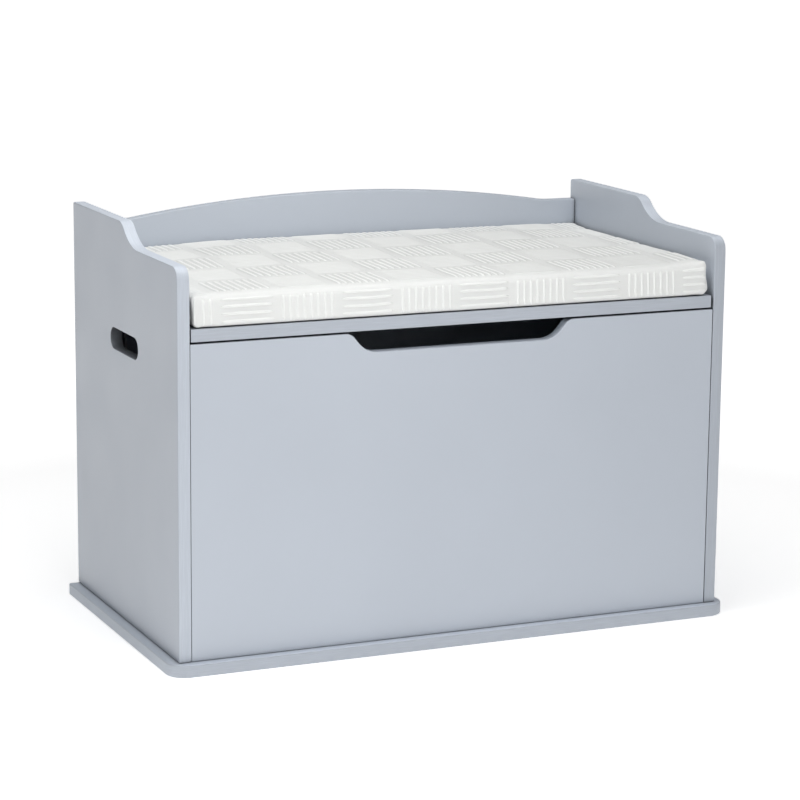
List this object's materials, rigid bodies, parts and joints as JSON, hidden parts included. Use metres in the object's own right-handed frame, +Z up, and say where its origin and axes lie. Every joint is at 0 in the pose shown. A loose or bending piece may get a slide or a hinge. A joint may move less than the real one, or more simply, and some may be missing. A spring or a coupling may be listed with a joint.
{
  "type": "toy box with seat",
  "caption": "Painted wooden toy chest that doubles as a child's bench: curved side panels, low arched back, hinged seat lid on damped stays, finger notch and a loose seat cushion.",
  "frame": {"origin": "on the floor, at the centre of the base board's footprint", "axes": "+Z up, the front faces -Y, the width runs along X"},
  "size_m": [0.729, 0.395, 0.5],
  "materials": {
    "grey_paint": "satin light blue-grey lacquer on board",
    "cushion_fabric": "off-white basket-weave cover with raised cords",
    "cushion_foam": "open-cell foam",
    "zinc_plate": "zinc plated",
    "screw_steel": "zinc plated",
    "stay_plastic": "moulded nylon",
    "bumper_rubber": "black rubber pad",
    "beech_wood": "raw beech"
  },
  "bodies": {
    "carcass": {"base_board": "grey_paint", "left_side_panel": "grey_paint", "right_side_panel": "grey_paint", "front_panel": "grey_paint", "back_panel": "grey_paint", "lid_bumper_left": "bumper_rubber", "hinge_left_back_leaf": "zinc_plate", "hinge_left_pin": "zinc_plate", "hinge_left_back_screw_1": "screw_steel", "hinge_left_back_screw_2": "screw_steel", "stay_left_housing": "stay_plastic", "stay_left_housing_screw_1": "screw_steel", "stay_left_housing_screw_2": "screw_steel", "base_screw_left_front": "screw_steel", "base_screw_left_rear": "screw_steel", "cam_left_lower": "zinc_plate", "cam_bolt_left_lower": "screw_steel", "back_dowel_left_lower": "beech_wood", "cam_left_upper": "zinc_plate", "cam_bolt_left_upper": "screw_steel", "back_dowel_left_upper": "beech_wood", "lid_bumper_right": "bumper_rubber", "hinge_right_back_leaf": "zinc_plate", "hinge_right_pin": "zinc_plate", "hinge_right_back_screw_1": "screw_steel", "hinge_right_back_screw_2": "screw_steel", "stay_right_housing": "stay_plastic", "stay_right_housing_screw_1": "screw_steel", "stay_right_housing_screw_2": "screw_steel", "base_screw_right_front": "screw_steel", "base_screw_right_rear": "screw_steel", "cam_right_lower": "zinc_plate", "cam_bolt_right_lower": "screw_steel", "back_dowel_right_lower": "beech_wood", "cam_right_upper": "zinc_plate", "cam_bolt_right_upper": "screw_steel", "back_dowel_right_upper": "beech_wood"},
    "lid": {"lid_board": "grey_paint", "hinge_left_lid_leaf": "zinc_plate", "hinge_left_lid_screw_1": "screw_steel", "hinge_left_lid_screw_2": "screw_steel", "stay_left_lid_bracket": "zinc_plate", "stay_left_lid_rivet": "zinc_plate", "stay_left_bracket_screw_1": "screw_steel", "stay_left_bracket_screw_2": "screw_steel", "hinge_right_lid_leaf": "zinc_plate", "hinge_right_lid_screw_1": "screw_steel", "hinge_right_lid_screw_2": "screw_steel", "stay_right_lid_bracket": "zinc_plate", "stay_right_lid_rivet": "zinc_plate", "stay_right_bracket_screw_1": "screw_steel", "stay_right_bracket_screw_2": "screw_steel"},
    "cushion": {"cushion_cover": "cushion_fabric", "cushion_foam": "cushion_foam"},
    "stay_left_arm": {"stay_left_arm": "zinc_plate", "stay_left_elbow_rivet": "zinc_plate"},
    "stay_left_link": {"stay_left_link": "zinc_plate"},
    "stay_right_arm": {"stay_right_arm": "zinc_plate", "stay_right_elbow_rivet": "zinc_plate"},
    "stay_right_link": {"stay_right_link": "zinc_plate"}
  },
  "joints": [
    {"name": "lid_hinge", "type": "hinge", "parent": "carcass", "child": "lid", "pos_m": [0, 0.1792, 0.3986], "axis": [-1, 0, 0], "range_deg": [0, 60]},
    {"name": "cushion_slide", "type": "slide", "parent": "lid", "child": "cushion", "axis": [0, -1, 0], "range_m": [0, 0.0703]},
    {"name": "stay_left_arm_pivot", "type": "hinge", "parent": "carcass", "child": "stay_left_arm", "pos_m": [-0.3254, 0.1592, 0.2986], "axis": [-1, 0, 0], "range_deg": [0, 60]},
    {"name": "stay_left_elbow", "type": "hinge", "parent": "stay_left_arm", "child": "stay_left_link", "pos_m": [-0.3254, 0.0642, 0.2706], "axis": [-1, 0, 0], "range_deg": [-60, 0]},
    {"name": "stay_right_arm_pivot", "type": "hinge", "parent": "carcass", "child": "stay_right_arm", "pos_m": [0.3254, 0.1592, 0.2986], "axis": [-1, 0, 0], "range_deg": [0, 60]},
    {"name": "stay_right_elbow", "type": "hinge", "parent": "stay_right_arm", "child": "stay_right_link", "pos_m": [0.3254, 0.0642, 0.2706], "axis": [-1, 0, 0], "range_deg": [-60, 0]}
  ],
  "couplings": [
    {"joint": "cushion_slide", "follows": "lid_hinge", "m_per_rad": 0.067},
    {"joint": "stay_left_arm_pivot", "follows": "lid_hinge", "ratio": 1},
    {"joint": "stay_left_elbow", "follows": "lid_hinge", "ratio": -1},
    {"joint": "stay_right_arm_pivot", "follows": "lid_hinge", "ratio": 1},
    {"joint": "stay_right_elbow", "follows": "lid_hinge", "ratio": -1}
  ]
}
